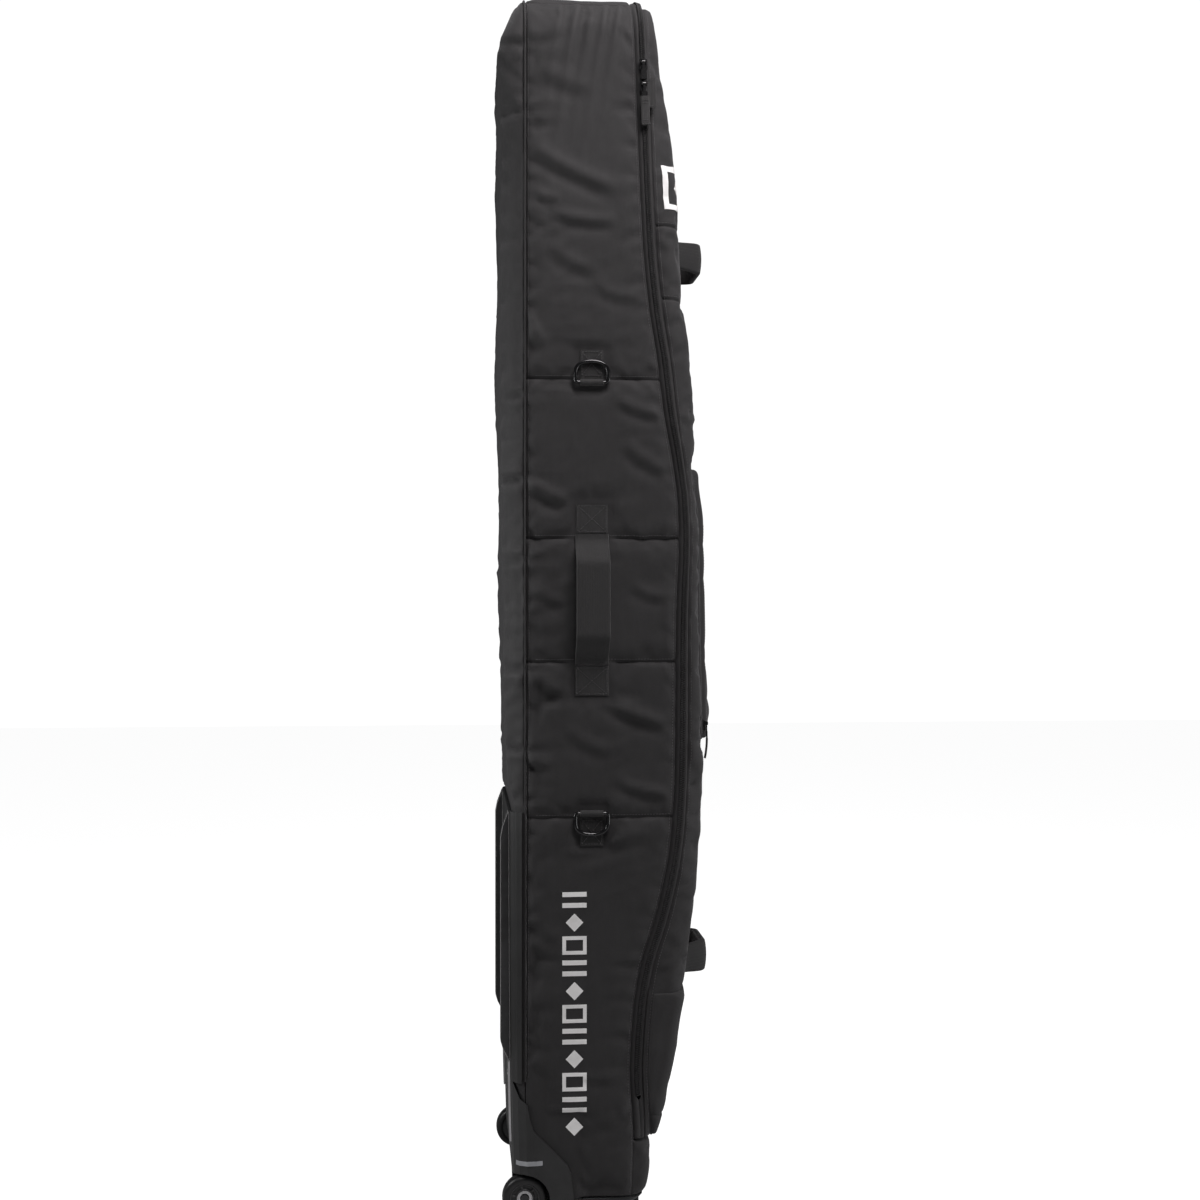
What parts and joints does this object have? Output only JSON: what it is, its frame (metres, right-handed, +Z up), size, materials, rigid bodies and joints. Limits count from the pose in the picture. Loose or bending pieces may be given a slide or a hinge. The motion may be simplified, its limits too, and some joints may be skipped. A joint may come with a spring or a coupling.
{
  "type": "snowboard bag",
  "caption": "Tall padded wheeled snowboard bag standing upright, with a zipped lid on the front, pockets, grab handles, D-rings, a moulded tray with skid rails, and wheels.",
  "frame": {"origin": "middle of the bounding box on the floor the bag stands on", "axes": "+Z up along the length of the bag, the lid and pockets face -Y, the wheels and skid rails are on the +Y side, the side handle and D-rings are on the -X side"},
  "size_m": [0.3788, 0.3156, 1.7622],
  "materials": {
    "pack_cloth": "matte woven polyester over foam, charcoal",
    "webbing": "black ribbed webbing",
    "lining": "dark grey lining cloth",
    "zip_tape": "black woven zip tape",
    "zip_coil": "black moulded coil",
    "black_metal": "gloss black coated metal",
    "moulded": "satin black moulded plastic",
    "board": "plain stiffening sheet",
    "urethane": "black wheel urethane",
    "steel": "plain steel",
    "light_metal": "satin light metal"
  },
  "bodies": {
    "bag_body": {"axle_bolt_left": "steel", "axle_bolt_right": "steel", "back_board": "board", "back_panel": "pack_cloth", "back_seam_piping": "webbing", "body_lining": "lining", "bottom_end_panel": "pack_cloth", "d_ring_tab_lower": "webbing", "d_ring_tab_upper": "webbing", "front_apron": "pack_cloth", "front_foot_left": "moulded", "front_foot_right": "moulded", "guard_rivet_left": "steel", "guard_rivet_right": "steel", "guard_strip_left": "light_metal", "guard_strip_right": "light_metal", "handle_patch_lower": "webbing", "handle_patch_upper": "webbing", "lid_hinge_binding": "webbing", "rail_rivet_left": "steel", "rail_rivet_right": "steel", "side_handle": "webbing", "side_panel_left": "pack_cloth", "side_panel_right": "pack_cloth", "skid_rail_left": "moulded", "skid_rail_right": "moulded", "tie_strap_lower": "webbing", "tie_strap_upper": "webbing", "top_end_panel": "pack_cloth", "wheel_housing_left": "moulded", "wheel_housing_right": "moulded", "wheel_tray": "moulded", "zip_coil_body": "zip_coil", "zip_tape_body": "zip_tape"},
    "lid": {"lid_panel": "pack_cloth", "lid_lining": "lining", "zip_tape_lid": "zip_tape", "zip_coil_lid": "zip_coil", "middle_pocket": "pack_cloth", "lower_pocket": "pack_cloth", "pocket_zip": "zip_tape", "front_loop_upper": "webbing", "front_loop_lower": "webbing"},
    "wheel_left": {"wheel_tyre_left": "urethane", "wheel_hub_left": "moulded", "wheel_bearing_left": "steel"},
    "wheel_right": {"wheel_tyre_right": "urethane", "wheel_hub_right": "moulded", "wheel_bearing_right": "steel"},
    "ring_upper": {"d_ring_upper": "black_metal"},
    "ring_lower": {"d_ring_lower": "black_metal"},
    "zip_slider_upper": {"slider_upper": "black_metal"},
    "zip_slider_lower": {"slider_lower": "black_metal"},
    "zip_pull_upper": {"pull_upper": "black_metal"},
    "zip_pull_lower": {"pull_lower": "black_metal", "pull_tab_lower": "webbing"},
    "pocket_zip_slider": {"pocket_slider": "black_metal"},
    "pocket_zip_pull": {"pocket_pull": "black_metal"}
  },
  "joints": [
    {"name": "lid_hinge", "type": "hinge", "parent": "bag_body", "child": "lid", "pos_m": [0.0131, -0.0598, 0.113], "axis": [1, 0, 0], "range_deg": [0, 88]},
    {"name": "wheel_left_spin", "type": "hinge", "parent": "bag_body", "child": "wheel_left", "pos_m": [-0.1434, 0.1238, 0.032], "axis": [1, 0, 0], "continuous": true},
    {"name": "wheel_right_spin", "type": "hinge", "parent": "bag_body", "child": "wheel_right", "pos_m": [0.1696, 0.1238, 0.032], "axis": [1, 0, 0], "continuous": true},
    {"name": "ring_upper_swing", "type": "hinge", "parent": "bag_body", "child": "ring_upper", "pos_m": [-0.1641, 0.029, 1.1935], "axis": [0, -1, 0], "range_deg": [0, 170]},
    {"name": "ring_lower_swing", "type": "hinge", "parent": "bag_body", "child": "ring_lower", "pos_m": [-0.1641, 0.029, 0.5805], "axis": [0, 1, 0], "range_deg": [0, 170]},
    {"name": "zip_slider_upper_slide", "type": "slide", "parent": "bag_body", "child": "zip_slider_upper", "axis": [0, 0.0423, 0.9991], "range_m": [0, 0.045]},
    {"name": "zip_slider_lower_slide", "type": "slide", "parent": "bag_body", "child": "zip_slider_lower", "axis": [0, 0.0423, 0.9991], "range_m": [-0.21, 0]},
    {"name": "zip_pull_upper_swing", "type": "hinge", "parent": "zip_slider_upper", "child": "zip_pull_upper", "pos_m": [-0.1664, -0.04468, 1.651], "axis": [0, 0.9991, -0.0423], "range_deg": [0, 150]},
    {"name": "zip_pull_lower_swing", "type": "hinge", "parent": "zip_slider_lower", "child": "zip_pull_lower", "pos_m": [-0.1664, -0.04585, 1.62], "axis": [0, 0.9991, -0.0423], "range_deg": [0, 150]},
    {"name": "pocket_slider_slide", "type": "slide", "parent": "lid", "child": "pocket_zip_slider", "axis": [0, 0.0175, 0.9998], "range_m": [0, 0.2]},
    {"name": "pocket_pull_swing", "type": "hinge", "parent": "pocket_zip_slider", "child": "pocket_zip_pull", "pos_m": [-0.1019, -0.14565, 0.70309], "axis": [-1, 0, 0], "range_deg": [0, 150]}
  ]
}
